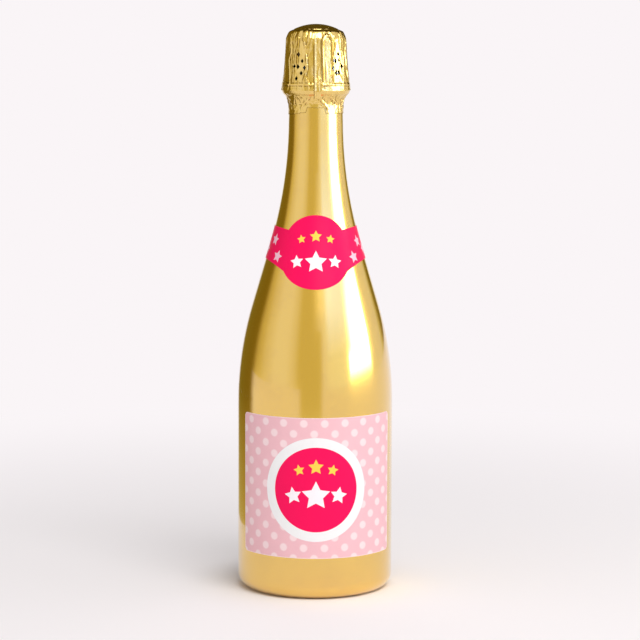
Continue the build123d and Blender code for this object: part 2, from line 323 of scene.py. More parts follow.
# Orange peel and dust: the faint waviness of a sprayed coat, and the fine marks of handling
peel, given, result = new_tree(
    "sprayed_coat",
    "Shader",
    {"Wave": "Float", "Depth": "Float", "Scuffs": "Float"},
    {"Normal": "Vector", "Scuff": "Float"},
)
place = own_place(peel)
scuff = ranged(clouds(place, 60.0, 6.0, 0.65), 0.5, 0.75, 0.0, given["Scuffs"])
feed(result, {"Normal": bumps(clouds(place, given["Wave"]), given["Depth"]), "Scuff": scuff})

gold_lacquer, tree, shader = new_material("gold_lacquer")
coat = add(tree, "ShaderNodeGroup", {"Wave": 330.0, "Depth": 0.06, "Scuffs": 1.0}, node_tree=peel)
gold = blended(coat["Scuff"], paint(235, 193, 86), paint(229, 186, 86))
surface(shader, gold, coat["Scuff"] * 0.05 + 0.17, coat["Normal"], Metallic=1.0)
feed(shader, {"Coat Weight": 1.0, "Coat Roughness": 0.03, "Coat IOR": 1.88})

bare_glass, tree, shader = new_material("bare_green_glass")
bubbles = clouds(own_place(tree), 90.0)
green = blended(bubbles, paint(30, 52, 26), paint(44, 70, 34))
surface(shader, green, 0.05, bumps(bubbles, 0.05), IOR=1.52)
feed(shader, {"Transmission Weight": 0.6})

glass_outline = punt + outside + mouth + inside[::-1]
glass_bottle = turned("glass_bottle_turned", glass_outline, gold_lacquer, sides=192)
glass_bottle.data.materials.append(bare_glass)
for face in glass_bottle.data.polygons:
    middle = face.center
    out = hypot(middle.x, middle.y)
    hidden = out < glass_radius(middle.z) - 1.5 * mm
    face.material_index = 1 if hidden or middle.z > lacquer_top else 0
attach(glass_bottle, "bottle")
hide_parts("glass_bottle")

# Front label
# One sheet of coated paper with rounded corners, 101 by 79 mm, glued round the front of the body.
# Printed pale pink with paler dots, and a hot pink roundel in a white ring. The print stops a hair
# short of the cut edge, so a thin line of paler paper shows all round.
paper = 0.1 * mm
glue = 0.05 * mm
label_radius = body_radius + glue
label_width = 100.6 * mm
label_bottom = 24.1 * mm
label_top = 103.4 * mm
label_corner = 2.5 * mm
label_turn = radians(2.8)


def thin_shell(name, points, count, rows, closed=False):
    """The mesh of a sheet: an outer and an inner layer of points, each of count columns of rows + 1."""
    tall, back = rows + 1, count * (rows + 1)
    faces = []
    for i in range(count if closed else count - 1):
        a, b = i * tall, (i + 1) % count * tall
        for j in range(rows):
            faces.append((a + j, a + j + 1, b + j + 1, b + j))
            faces.append((back + a + j, back + b + j, back + b + j + 1, back + a + j + 1))
        for j in (0, rows):
            faces.append((a + j, b + j, back + b + j, back + a + j))
    if not closed:
        for a in (0, (count - 1) * tall):
            faces += [(a + j, a + j + 1, back + a + j + 1, back + a + j) for j in range(rows)]
    mesh = bpy.data.meshes.new(name)
    mesh.from_pydata(points, [], faces)
    return mesh


def wrapped_sheet(name, columns, rows, radius_at, material):
    """A sheet of paper on the glass. Each column is (turn, low edge, high edge), in radians and metres.

    The attribute printed_at holds each point's turn, and its radius and height in millimetres.
    """
    points, printed_at = [], []
    for lift in (paper, 0):
        for turn, low, high in columns:
            for row in range(rows + 1):
                height = low + (high - low) * row / rows
                radius = radius_at(turn, height) + lift
                points.append((radius * sin(turn), -radius * cos(turn), height))
                printed_at.append((turn, radius / mm, height / mm))
    mesh = thin_shell(name, points, len(columns), rows)
    spots = mesh.attributes.new("printed_at", "FLOAT_VECTOR", "POINT")
    spots.data.foreach_set("vector", np.array(printed_at, np.float32).ravel())
    mesh.materials.append(material)
    return finished(name, mesh, 50)


def far(along, up):
    """The distance of what lies so far along and so far up."""
    return (along * along + up * up).math("SQRT")


# Motifs are measured on the paper: from a middle point, along the sheet and up it, in millimetres
motif, given, result = new_tree(
    "place_on_the_paper",
    "Shader",
    {"Turn": "Float", "Height": "Float", "Slope": "Float"},
    {"Along": "Float", "Up": "Float", "Distance": "Float"},
)
printed = add(motif, "ShaderNodeAttribute", attribute_name="printed_at")["Vector"]
printed = add(motif, "ShaderNodeSeparateXYZ", {0: printed})
along = (printed[0] - given["Turn"]) * printed[1]
upward = (printed[2] - given["Height"]) / given["Slope"]
feed(result, {"Along": along, "Up": upward, "Distance": far(along, upward)})

ink_edge = 0.07
star, given, result = new_tree(
    "five_pointed_star",
    "Shader",
    {"Along": "Float", "Up": "Float", "Size": "Float", "Lean": "Float"},
    {"Mask": "Float"},
)
star_notch, half_point = 0.5, radians(36)
notch_across, notch_down = star_notch * sin(half_point), 1 - star_notch * cos(half_point)
side_faces = atan2(notch_down, notch_across)
side_distance = notch_across / hypot(notch_across, notch_down)
from_tip = (given["Along"].math("ARCTAN2", given["Up"]) - given["Lean"]).math("PINGPONG", half_point)
towards_side = (from_tip - side_faces).math("COSINE") * far(given["Along"], given["Up"])
past_side = towards_side - given["Size"] * side_distance
feed(result, {"Mask": ranged(past_side, ink_edge, -ink_edge)})


def measured_from(tree, turn, height, slope=1.0):
    """Along, up and distance on the paper from a middle point, given in degrees and millimetres."""
    inputs = {"Turn": radians(turn), "Height": height, "Slope": slope}
    return add(tree, "ShaderNodeGroup", inputs, node_tree=motif)


def within(distance, radius, soft=ink_edge):
    """A mask that is 1 where a distance is under a radius."""
    return ranged(distance, radius + soft, radius - soft)


def stars(tree, places, slope=1.0):
    """The mask of stars printed at (turn, height, size, lean), in degrees and millimetres."""
    masks = []
    for turn, height, size, lean in places:
        where = measured_from(tree, turn, height, slope)
        inputs = {"Along": where["Along"], "Up": where["Up"], "Size": size, "Lean": radians(lean)}
        masks.append(add(tree, "ShaderNodeGroup", inputs, node_tree=star))
    return reduce(lambda one, other: one.math("MAXIMUM", other), masks)


def three_stars(turn, beside, heights, sizes, lean):
    """A star with a smaller one beside it at each side, which leans outwards."""
    smaller = [(turn + way * beside, heights[1], sizes[1], way * lean) for way in (-1, 1)]
    return [(turn, heights[0], sizes[0], 0)] + smaller


# Coated paper: faint fibres under a glossy varnish
fibre, given, result = new_tree(
    "varnished_paper",
    "Shader",
    {"Ink": "Color", "Mottle": "Float"},
    {"Color": "Color", "Roughness": "Float", "Normal": "Vector"},
)
place = own_place(fibre)
grain, blotch, sway = clouds(place, 2600.0, 3.0), clouds(place, 160.0, 4.0), clouds(place, 70.0, 1.0)
looks = {
    "Color": blended(blotch * given["Mottle"], given["Ink"], (0, 0, 0, 1)),
    "Roughness": ranged(grain, 0.0, 1.0, 0.3, 0.42),
    "Normal": bumps(sway * 6.0 + grain, 0.12, 0.04 * mm),
}
feed(result, looks)


def printed_paper(name):
    """A varnished paper material with its tree, and the node whose input Ink takes the print."""
    material, tree, shader = new_material(name)
    sheet = add(tree, "ShaderNodeGroup", {"Mottle": 0.06}, node_tree=fibre)
    surface(shader, sheet["Color"], sheet["Roughness"], sheet["Normal"])
    feed(shader, {"Specular IOR Level": 0.15})
    return material, tree, sheet.node


pale_pink = paint(242, 191, 198)
dot_pink = paint(250, 222, 224)
paper_white = paint(244, 243, 243)
hot_pink = paint(249, 7, 90)
star_yellow = paint(252, 214, 84)
star_white = paint(252, 244, 248)
cut_pink = paint(250, 222, 222)
roundel_turn, roundel_height, roundel_radius, ring_radius = 0.9, 63.0, 23.9, 29.3
dot_pitch, dot_radius, dot_edge, dot_turn, dot_height = 11.7, 2.15, 0.4, -8.0, 100.2
margin, margin_edge = 0.32, 0.08

label_paper, tree, sheet = printed_paper("printed_label_paper")
# Two square lattices of dots, one halfway between the other's
where = measured_from(tree, dot_turn, dot_height)
lattices = []
for shift in (0, dot_pitch / 2):
    beside = [(where[way] + shift).math("PINGPONG", dot_pitch / 2) for way in ("Along", "Up")]
    lattices.append(far(*beside))
ink = blended(within(lattices[0].math("MINIMUM", lattices[1]), dot_radius, dot_edge), pale_pink, dot_pink)
middle = measured_from(tree, roundel_turn, roundel_height)["Distance"]
ink = blended(within(middle, ring_radius), ink, paper_white)
ink = blended(within(middle, roundel_radius), ink, hot_pink)
white_stars = three_stars(roundel_turn, 16.6, (59.6, 59.6), (8.3, 5.0), 10)
yellow_stars = three_stars(roundel_turn, 12.2, (75.8, 74.0), (4.4, 3.2), 12)
ink = blended(stars(tree, white_stars), ink, star_white)
ink = blended(stars(tree, yellow_stars), ink, star_yellow)
# The cut edge: how far a point lies past the middles of the round corners
corner = label_corner / mm
past_corner = []
where = measured_from(tree, degrees(label_turn), (label_bottom + label_top) / 2 / mm)
for way, size in (("Along", label_width / mm), ("Up", (label_top - label_bottom) / mm)):
    past_corner.append((where[way].math("ABSOLUTE") + (corner - size / 2)).math("MAXIMUM", 0.0))
ink = blended(within(far(*past_corner), corner - margin, margin_edge), cut_pink, ink)
feed(sheet, {"Ink": ink})

columns = []
column_count = 120
corner_steps = [label_corner * (1 - cos(radians(15 * i))) for i in range(7)]
spread = [label_corner + (label_width - 2 * label_corner) * i / column_count for i in range(1, column_count)]
for across in corner_steps + spread + [label_width - x for x in reversed(corner_steps)]:
    from_edge = min(across, label_width - across, label_corner)
    cut = label_corner - sqrt(max(0, label_corner**2 - (label_corner - from_edge) ** 2))
    turn = label_turn + (across - label_width / 2) / label_radius
    columns.append((turn, label_bottom + cut, label_top - cut))
front_label = wrapped_sheet("front_label_sheet", columns, 60, lambda turn, height: label_radius, label_paper)
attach(front_label, "bottle")
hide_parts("front_label")

# Neck label
# A collar of the same coated paper, hot pink with pale stars, glued round the slope of the neck.
# Its front swells to a round medallion, and its ends overlap at the back, where it is narrowest.
medallion_height = 193.95 * mm
medallion_radius = 21.2 * mm
medallion_to_tip = glass_radius(medallion_height) / sin(shoulder_angle)
collar_slope = cos(shoulder_angle)
# Both edges of the collar dip towards the front: their heights at the back, and their dips
collar_low = 188.9 * mm, 12.65 * mm
collar_high = 207.2 * mm, 3.57 * mm
dip_reach = radians(41.1)
overlap = 8
lifted_by = paper + 0.03 * mm


def medallion_turn(height):
    """How far the medallion, a circle on the unrolled cone, reaches round the neck at a height."""
    to_tip = medallion_to_tip - (height - medallion_height) / collar_slope
    cosine = (to_tip**2 + medallion_to_tip**2 - medallion_radius**2) / (2 * to_tip * medallion_to_tip)
    return acos(min(1, cosine)) / sin(shoulder_angle)


def medallion_edge(turn, way):
    """The height of the medallion's edge at a turn, above its middle or below it."""
    near, far = medallion_height, medallion_height + way * medallion_radius * collar_slope
    for _ in range(40):
        half = (near + far) / 2
        if medallion_turn(half) > turn:
            near = half
        else:
            far = half
    return near


def collar_edge(turn, at_back, dip):
    """The height of an edge of the collar at a turn."""
    return at_back - dip * exp(-((turn / dip_reach) ** 2))


def joint(way, edge):
    """The turn where an edge of the collar runs into the medallion's."""

    def gap(turn):
        return abs(medallion_edge(turn, way) - collar_edge(turn, *edge))

    return min(np.radians(np.arange(20, 46, 0.1)), key=gap)


upper_joint, lower_joint = joint(1, collar_high), joint(-1, collar_low)
joints = {upper_joint, -upper_joint, lower_joint, -lower_joint}
columns = []
for turn in sorted({*np.radians(np.arange(-180, 180 + overlap, 2.5)), *joints}):
    around = abs(turn) if abs(turn) <= pi else 2 * pi - abs(turn)
    low = medallion_edge(around, -1) if around < lower_joint else collar_edge(around, *collar_low)
    high = medallion_edge(around, 1) if around <= upper_joint else collar_edge(around, *collar_high)
    columns.append((float(turn), low, high))


def collar_radius(turn, height):
    """The glue line under the collar; the end that lies on top steps up by the sheet's own thickness."""
    on_top = min(1, max(0, (degrees(turn) - 176) / 3))
    return glass_radius(height) + glue + on_top * lifted_by


collar_paper, tree, sheet = printed_paper("printed_collar_paper")
photographed_stars = [
    (-63.4, 199.8, 3.6, 8), (-50.3, 190.9, 3.7, 14), (67.4, 199.0, 3.6, -8), (50.7, 190.7, 3.7, -14),
]
star_gap = 25.0
hidden_stars = [
    (first + star_gap * i, height, 3.5, lean)
    for first, height, lean in ((82, 194.6, -20), (94.5, 201.0, -10))
    for i in range(4)
]
for turn, height, size, lean in hidden_stars[:3] + hidden_stars[4:7]:
    hidden_stars.append((-turn - 1, height, size, -lean))
pale_stars = stars(tree, photographed_stars + hidden_stars, collar_slope)
ink = blended(pale_stars, hot_pink, paint(249, 196, 212))
white_stars = three_stars(0.6, 22, (188.6, 188.6), (6.5, 3.95), 10)
yellow_stars = three_stars(0.6, 19, (202.6, 201.0), (3.45, 2.55), 12)
ink = blended(stars(tree, white_stars, collar_slope), ink, star_white)
ink = blended(stars(tree, yellow_stars, collar_slope), ink, star_yellow)
feed(sheet, {"Ink": ink})
neck_label = wrapped_sheet("neck_label_sheet", columns, 28, collar_radius, collar_paper)
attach(neck_label, "bottle")
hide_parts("neck_label")

# Cork
# A sparkling-wine stopper: a body of pressed cork granules with a mushroom head, and two discs of
# solid natural cork glued under it. The lathe-turned solids are right as they are; the granules,
# the pores and the growth lines are in their finish.
granule_scale = 430.0


def cells(place, scale, feature="F1"):
    """Cells at a place: a distance, and a colour for each cell."""
    return add(place.tree, "ShaderNodeTexVoronoi", {"Vector": place, "Scale": scale}, feature=feature)


def swayed(place, scale, amount):
    """A place moved a little this way and that."""
    inputs = {0: clouds(place, scale)["Color"], 1: (amount, amount, amount), 2: place}
    return add(place.tree, "ShaderNodeVectorMath", inputs, operation="MULTIPLY_ADD")


def covered(piece, *materials):
    """Gives a piece these materials in place of its own."""
    piece.data.materials.clear()
    for material in materials:
        piece.data.materials.append(material)


pressed_cork, tree, shader = new_material("pressed_cork_granules")
place = own_place(tree)
bent = swayed(place, 500.0, 0.6 * mm)
shade = add(tree, "ShaderNodeSeparateColor", {0: cells(bent, granule_scale)["Color"]})
seam = ranged(cells(bent, granule_scale, "DISTANCE_TO_EDGE"), 0.07, 0.0)
speckle = clouds(place, 1400.0, 4.0)
tan_brown = blended(shade, paint(176, 131, 86), paint(222, 184, 138))
tan_brown = blended(ranged(speckle, 0.58, 0.68), tan_brown, paint(120, 78, 44))
tan_brown = blended(seam, tan_brown, paint(126, 84, 50))
surface(shader, tan_brown, speckle * 0.2 + 0.62, bumps(speckle - seam * 1.4, 0.5))
covered(bpy.data.objects["cork_body"], pressed_cork)

natural_cork, tree, shader = new_material("natural_cork_disc")
place = own_place(tree)
growth = {"Vector": place, "Scale": (60.0, 460.0, 60.0), "Rotation": (0, 0, 0.5)}
growth = clouds(add(tree, "ShaderNodeMapping", growth), 1.0, 3.0, distortion=0.6)
pore = add(tree, "ShaderNodeMapping", {"Vector": place, "Scale": (320.0, 320.0, 1500.0)})
pore = ranged(clouds(pore, 1.0, 4.0, 0.6), 0.62, 0.68)
tan_brown = blended(growth, paint(198, 152, 102), paint(231, 197, 150))
tan_brown = blended(pore, tan_brown, paint(112, 70, 40))
surface(shader, tan_brown, pore * 0.15 + 0.6, bumps(growth * 0.5 - pore, 0.4))
for node in ("cork_disc_upper", "cork_disc_lower"):
    covered(bpy.data.objects[node], natural_cork)

# Plaque
# The stamped tinplate cap between cork and wire: a dome with a flat flange, whose rim is curled
# down outside the cage's ring. It is lacquered gold.
tinplate, tree, shader = new_material("lacquered_tinplate")
coat = add(tree, "ShaderNodeGroup", {"Wave": 900.0, "Depth": 0.1, "Scuffs": 1.0}, node_tree=peel)
lacquered = blended(coat["Scuff"], paint(222, 184, 96), paint(205, 190, 160))
surface(shader, lacquered, coat["Scuff"] * 0.2 + 0.2, coat["Normal"], Metallic=1.0)
tin = 0.25 * mm
plaque_crown, plaque_dome, plaque_edge, plaque_radius = 319.25 * mm, 18 * mm, radians(38.9), 13.1 * mm
rim_drop = 0.55 * mm
plaque_top = [(0.0, plaque_crown)]
swing(plaque_top, 0, plaque_dome, -plaque_edge, radians(3))
flange_height = plaque_top[-1][1]
rim = [(plaque_radius - rim_drop, flange_height), (plaque_radius, flange_height - rim_drop)]
plaque_line = plaque_top[:-2] + rounded(plaque_top[-2:] + rim, [1 * mm, 0.45 * mm])


def with_thickness(line, thickness):
    """The closed outline of a sheet: an outer line of (r, z) points, and the same line moved inwards."""
    inner = []
    for i, (r, z) in enumerate(line):
        before, after = Vector(line[max(i - 1, 0)]), Vector(line[min(i + 1, len(line) - 1)])
        along = (after - before).normalized()
        inner.append((max(r + along.y * thickness, 0.0), z - along.x * thickness))
    inner[0] = (line[0][0], inner[0][1])
    return line + inner[::-1]


cage_plaque = turned("cage_plaque_stamped", with_thickness(plaque_line, tin), tinplate, sides=96)
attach(cage_plaque, "cage")
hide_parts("cage_plaque")

# Wire cage
# Galvanised steel wire, 0.9 mm thick: a ring under the plaque's flange, and four legs, each of two
# wires twisted together, that end in eyelets. A separate belt wire runs through the eyelets round
# the neck; its ends are twisted into a tail that is folded up, and closed in a flat eye.
wire = 0.9 * mm
leg_pitch = 8 * mm
tail_pitch = 6 * mm
ring_radius, ring_height = 12.45 * mm, 315.8 * mm
leg_route = [
    (12.45, 315.85), (13.35, 315.65), (14.2, 314.7), (15.75, 311.8), (16.1, 305), (17.1, 292), (17.95, 286.9),
    (18.1, 285), (17.55, 283.4),
]
leg_bends = [1.3, 4, 6, 20, 12, 8, 2]
eyelet_radius, eyelet_centre = 1.25 * mm, 16.65 * mm
belt_radius, belt_height = 16.3 * mm, 282.5 * mm
tail_turn = radians(27)
tail_route = [(16.4, 282.6), (18.05, 284.6), (17.95, 286.9), (17.2, 290.6), (16.85, 294.2)]
tail_bends = [1.5, 6, 6]
eye_foot, eye_head, eye_width = (16.85, 294.0), (16.15, 305.0), 5.6


def parted(tree, shape, attribute, limit):
    """A named attribute, and the points where it is over a limit. Inverted holds the others."""
    value = add(tree, "GeometryNodeInputNamedAttribute", {"Name": attribute}, data_type="FLOAT")
    over = add(tree, "FunctionNodeCompare", {0: value["Attribute"], 1: limit}, operation="GREATER_THAN")
    sorted_out = {"Geometry": shape, "Selection": over}
    return value["Attribute"], add(tree, "GeometryNodeSeparateGeometry", sorted_out, domain="POINT")


def joined(tree, shapes):
    """Several shapes as one."""
    whole = add(tree, "GeometryNodeJoinGeometry")
    for shape in shapes:
        feed(whole.node, {0: shape})
    return whole


# Bends wire along lines: single, or as a twisted pair where the points' attribute twisted is 1
bender, given, result = new_tree(
    "wire_along_lines",
    "Geometry",
    {"Lines": "Geometry", "Thickness": "Float", "Pitch": "Float", "Step": "Float", "Material": "Material"},
    {"Mesh": "Geometry"},
)
kinds = parted(bender, given["Lines"], "twisted", 0.5)[1]
strand = {"Resolution": 8, "Radius": given["Thickness"] * 0.5}
strand = add(bender, "GeometryNodeCurvePrimitiveCircle", strand)
pair = []
for way in (0.5, -0.5):
    aside = add(bender, "ShaderNodeCombineXYZ", {"X": given["Thickness"] * way})
    pair.append(add(bender, "GeometryNodeTransform", {"Geometry": strand, "Translation": aside}))
bent_wires = []
for kind, profile in (("Selection", joined(bender, pair)), ("Inverted", strand)):
    curve = add(bender, "GeometryNodeMeshToCurve", {"Mesh": kinds[kind]})
    curve = add(bender, "GeometryNodeResampleCurve", {"Curve": curve, "Length": given["Step"]}, mode="LENGTH")
    if kind == "Selection":
        twist = add(bender, "GeometryNodeSplineParameter")["Length"] / given["Pitch"] * (2 * pi)
        curve = add(bender, "GeometryNodeSetCurveTilt", {"Curve": curve, "Tilt": twist})
    solid = {"Curve": curve, "Profile Curve": profile, "Fill Caps": True}
    bent_wires.append(add(bender, "GeometryNodeCurveToMesh", solid))
delivered(bender, joined(bender, bent_wires), given, result)

wire_steel, tree, shader = new_material("galvanised_wire")
spangle = clouds(own_place(tree), 1500.0, 3.0)
grey = blended(spangle, paint(150, 150, 152), paint(206, 207, 210))
surface(shader, grey, spangle * 0.25 + 0.22, bumps(spangle, 0.15, 0.1 * mm), Metallic=1.0)


def standing(line, turn):
    """A line of (distance from the axis, height) points, stood up at a turn round the axis."""
    return [(r * sin(turn), -r * cos(turn), z) for r, z in line]


def hoop(centre, across, upwards, radius, count):
    """A closed ring of points."""
    centre, across, upwards = Vector(centre), Vector(across), Vector(upwards)
    spots = [2 * pi * i / count for i in range(count)]
    return [tuple(centre + radius * (cos(spot) * across + sin(spot) * upwards)) for spot in spots]


def bent(name, lines, pitch):
    """Wire bent along lines, each given as (points, closed, twisted)."""
    points, edges, twisted = [], [], []
    for line, is_closed, is_pair in lines:
        first = len(points)
        points += line
        edges += [(first + i, first + i + 1) for i in range(len(line) - 1)]
        if is_closed:
            edges.append((len(points) - 1, first))
        twisted += [float(is_pair)] * len(line)
    seeds = bpy.data.meshes.new(name + "_lines")
    seeds.from_pydata(points, edges, [])
    seeds.attributes.new("twisted", "FLOAT", "POINT").data.foreach_set("value", twisted)
    values = {"Thickness": wire, "Pitch": pitch, "Step": 0.45 * mm, "Material": wire_steel}
    return grown(name, seeds, bender, values, 60)


leg_line = rounded(scaled(leg_route), [b * mm for b in leg_bends])
cage_lines = [(hoop((0, 0, ring_height), (1, 0, 0), (0, 1, 0), ring_radius, 96), True, False)]
for leg in range(4):
    turn = radians(90 * leg)
    centre = standing([(eyelet_centre, belt_height)], turn)[0]
    cage_lines.append((standing(leg_line, turn), False, True))
    cage_lines.append((hoop(centre, (sin(turn), -cos(turn), 0), (0, 0, 1), eyelet_radius, 20), True, False))
cage_frame = bent("cage_frame_wire", cage_lines, leg_pitch)
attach(cage_frame, "cage")
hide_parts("cage_frame")

tail_line = rounded(scaled(tail_route), [b * mm for b in tail_bends])
foot, head = (Vector(standing(scaled([end]), tail_turn)[0]) for end in (eye_foot, eye_head))
rise, sideways = (head - foot).normalized(), Vector((cos(tail_turn), sin(tail_turn), 0))
eye_bend = eye_width / 2 * mm
eye_line = []
for middle, start in ((head - eye_bend * rise, 0), (foot + eye_bend * rise, pi)):
    for step in range(13):
        angle = start + pi * step / 12
        eye_line.append(tuple(middle + eye_bend * (cos(angle) * sideways + sin(angle) * rise)))
belt_lines = [
    (hoop((0, 0, belt_height), (1, 0, 0), (0, 1, 0), belt_radius, 120), True, False),
    (standing(tail_line, tail_turn), False, True),
    (eye_line, True, False),
]
cage_belt = bent("cage_belt_wire", belt_lines, tail_pitch)
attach(cage_belt, "cage")
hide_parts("cage_belt")

# Foil skirt
# The band of laminated foil below the tear line: gold outside, pale inside. It is crimped on the
# neck, so it lies in slanting pleats, and its pinked hem rises in a low arch at the front.
foil = 0.12 * mm
skirt_foot, skirt_gap = 269, 0.17
skirt_route = [(19.28, 283.4), (18.5, 281.5), (17.1, 280.3), (15.9, 278.3), (15.3, 275.6)]
skirt_route.append((glass_radius(skirt_foot * mm) / mm + skirt_gap, skirt_foot))
skirt_bends = [1.5, 1.2, 2.5, 3]
hem_low, hem_arch, hem_teeth = 270.0, 3.2, 44


def foil_sheet(name, route, bends, turns, rows, relief, closed, edge=None, painted_shadow_lines=None):
    """The mesh of a thin foil shell: a line turned round the axis, raised by relief(turn, radius, height).

    Everything here is in millimetres and radians. Where edge is given, it says how far down each turn goes.
    Painted shade darkens the valleys between folds, and so do the lines of painted shadow that the last
    argument gives for a turn, radius and height.
    """
    line = np.array(rounded(route, bends, radians(4)))
    run = np.concatenate([[0], np.cumsum(np.hypot(*np.diff(line, axis=0).T))])
    ends = [np.interp(-edge(turn), -line[:, 1], run) if edge else run[-1] for turn in turns]
    at = np.outer(ends, np.linspace(0, 1, rows + 1))
    radius, height = np.interp(at, run, line[:, 0]), np.interp(at, run, line[:, 1])
    reach = 0.25
    slope_r = np.interp(at + reach, run, line[:, 0]) - np.interp(at - reach, run, line[:, 0])
    slope_z = np.interp(at + reach, run, line[:, 1]) - np.interp(at - reach, run, line[:, 1])
    long = np.hypot(slope_r, slope_z)
    out_r, out_z = -slope_z / long, slope_r / long
    turn = np.repeat(np.array(turns)[:, None], rows + 1, axis=1)
    lift = relief(turn, radius, height)
    # Painted shade: points lower than those round them, in the valleys between folds, get a share of
    # darkening, and so do the given lines of painted shadow
    around = sum(np.roll(lift, (i, j), (0, 1)) for i in (-3, 0, 3) for j in (-2, 0, 2)) / 9
    painted_shade = np.clip((around - lift - 0.03) / 0.09, 0, 1)
    if painted_shadow_lines:
        painted_shade = np.maximum(painted_shade, painted_shadow_lines(turn, radius, height))
    layers = []
    for depth in (0, foil / mm):
        r, z = radius + (lift - depth) * out_r, height + (lift - depth) * out_z
        layers.append(np.stack([r * np.sin(turn), -r * np.cos(turn), z], axis=-1).reshape(-1, 3) * mm)
    mesh = thin_shell(name, np.concatenate(layers).tolist(), len(turns), rows, closed)
    mesh.attributes.new("painted_shade", "FLOAT", "POINT").data.foreach_set("value", np.tile(painted_shade.ravel(), 2))
    return mesh


def folds(turn, radius, height, lines):
    """Sharp raised folds along lines of (turn in degrees, height), each with a half width and a lift."""
    lift = np.zeros_like(turn)
    for line, half_width, rise in lines:
        nearest = np.full_like(turn, 99.0)
        for (turn_a, za), (turn_b, zb) in zip(line, line[1:]):
            xa = (np.mod(turn - radians(turn_a) + pi, 2 * pi) - pi) * radius
            xb = xa - radians(turn_b - turn_a) * radius
            dx, dz = xa - xb, zb - za
            share = np.clip((xa * dx + (height - za) * dz) / (dx**2 + dz**2 + 1e-9), 0, 1)
            nearest = np.minimum(nearest, np.hypot(xa - share * dx, height - za - share * dz))
        lift = np.maximum(lift, rise * np.clip(1 - nearest / half_width, 0, 1))
    return lift


def crumpled(turn, radius, height, size, stretch, seed):
    """Creased foil: sharp ridges, size apart round the neck and stretched upwards, from 0 to 1."""
    spots = np.stack([radius * np.sin(turn), radius * np.cos(turn), height / stretch], axis=-1)
    spots = spots.reshape(-1, 3) / size
    values = [1 - abs(noise.noise(Vector(spot) + Vector((seed, 0, 0)))) * 2.2 for spot in spots]
    return np.clip(np.array(values), 0, 1).reshape(turn.shape)


def eased(value, low, high):
    """A smooth step from 0 at low to 1 at high."""
    share = np.clip((value - low) / (high - low), 0, 1)
    return share * share * (3 - 2 * share)


skirt_folds = [
    ([(-64, 277.2), (-48, 276.2), (-24, 276.0)], 0.5, 0.22),
    ([(-14, 279.2), (-31, 274.0)], 0.6, 0.36),
    ([(9, 278.8), (27, 273.0)], 0.9, 0.34),
    ([(30, 279.5), (52, 275.4)], 0.6, 0.3),
    ([(-44, 280.6), (-52, 275.8)], 0.5, 0.3),
    ([(-37, 280.0), (-31, 276.8)], 0.5, 0.25),
    ([(-40, 276.0), (-37, 270.5)], 0.5, 0.2),
    ([(-31, 275.0), (-30, 271.5)], 0.4, 0.16),
    ([(38, 277.0), (44, 270.5)], 0.6, 0.26),
    ([(24, 275.0), (28, 270.5)], 0.5, 0.22),
    ([(58, 278.5), (62, 271.0)], 0.6, 0.3),
    ([(-66, 279.0), (-60, 271.0)], 0.6, 0.26),
]
maker = np.random.default_rng(11)
for i in range(16):
    turn_at = 66 + i * 14.5 + maker.uniform(-3, 3)
    lean = maker.choice([-1, 1]) * maker.uniform(6, 15)
    line = [(turn_at, maker.uniform(278, 281)), (turn_at + lean, maker.uniform(271.5, 274))]
    skirt_folds.append((line, 0.6, maker.uniform(0.2, 0.36)))


def skirt_relief(turn, radius, height):
    """How far the skirt stands off its plain form."""
    lift = folds(turn, radius, height, skirt_folds)
    lift += 0.2 * crumpled(turn, radius, height, 3.4, 2.0, 3.0) ** 3
    lift += 0.08 * crumpled(turn, radius, height, 1.7, 1.2, 8.0) ** 2
    snug = 0.4 + 0.6 * eased(height, 271, 277)
    return 0.02 + lift * snug * (0.1 + 0.9 * eased(282.4 - height, 0, 2.0))


def hem(turn):
    """The height of the pinked hem at a turn: small teeth, uneven, with the arch at the front."""
    tooth = abs((turn * hem_teeth / (2 * pi)) % 1 - 0.5)
    arch = hem_arch * float(eased(22.5 - abs(degrees(turn)), 0, 4.5))
    sway = noise.noise(Vector((sin(turn) * 1.6, cos(turn) * 1.6, 5))) * 1.3
    return hem_low + 0.6 * tooth + arch + max(sway, -0.4)


def hem_shadow(turn, radius, height):
    """A painted shadow along the pinked hem, where the foil's cut edge lies on the lacquer."""
    low = np.array([hem(t) for t in turn[:, 0]])[:, None]
    return 0.9 * np.clip(1 - (height - low) / 0.45, 0, 1)


gold_foil, tree, shader = new_material("laminated_gold_foil")
place = own_place(tree)
crease = ranged(cells(swayed(place, 260.0, 3 * mm), 420.0, "DISTANCE_TO_EDGE"), 0.0, 0.25)
soft = clouds(place, 380.0, 5.0, 0.55)
# Painted shade: the foil turns dark brown in its fold valleys, along the tear strip's slit and along the hem
painted_shade_share = add(tree, "ShaderNodeAttribute", attribute_name="painted_shade")["Fac"] * 0.8
gold = blended(soft, paint(230, 192, 104), paint(246, 216, 140))
gold = blended(painted_shade_share, gold, paint(122, 86, 22))
rub = ranged(soft, 0.35, 0.7, 0.12, 0.24)
surface(shader, gold, rub, bumps(soft * 2.2 + crease * 0.35, 0.35, 0.25 * mm), Metallic=1.0)

foil_backing, tree, shader = new_material("foil_backing")
soft = clouds(own_place(tree), 700.0, 4.0)
pale_grey = blended(soft, paint(176, 172, 160), paint(206, 203, 194))
surface(shader, pale_grey, soft * 0.2 + 0.35, bumps(soft, 0.2), Metallic=0.7)


def backed(piece):
    """Gives the side that faces the axis the foil's pale backing."""
    covered(piece, gold_foil, foil_backing)
    for face in piece.data.polygons:
        x, y, z = face.center
        facing = face.normal.x * x + face.normal.y * y
        face.material_index = 1 if facing < -0.3 * hypot(x, y) else 0
    return piece


skirt_turns = [2 * pi * i / 352 - pi for i in range(352)]
skirt = foil_sheet(
    "foil_skirt_crimped", skirt_route, skirt_bends, skirt_turns, 44, skirt_relief, True, hem, hem_shadow
)
foil_skirt = backed(finished("foil_skirt_crimped", skirt, 45))
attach(foil_skirt, "bottle")
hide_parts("foil_skirt")

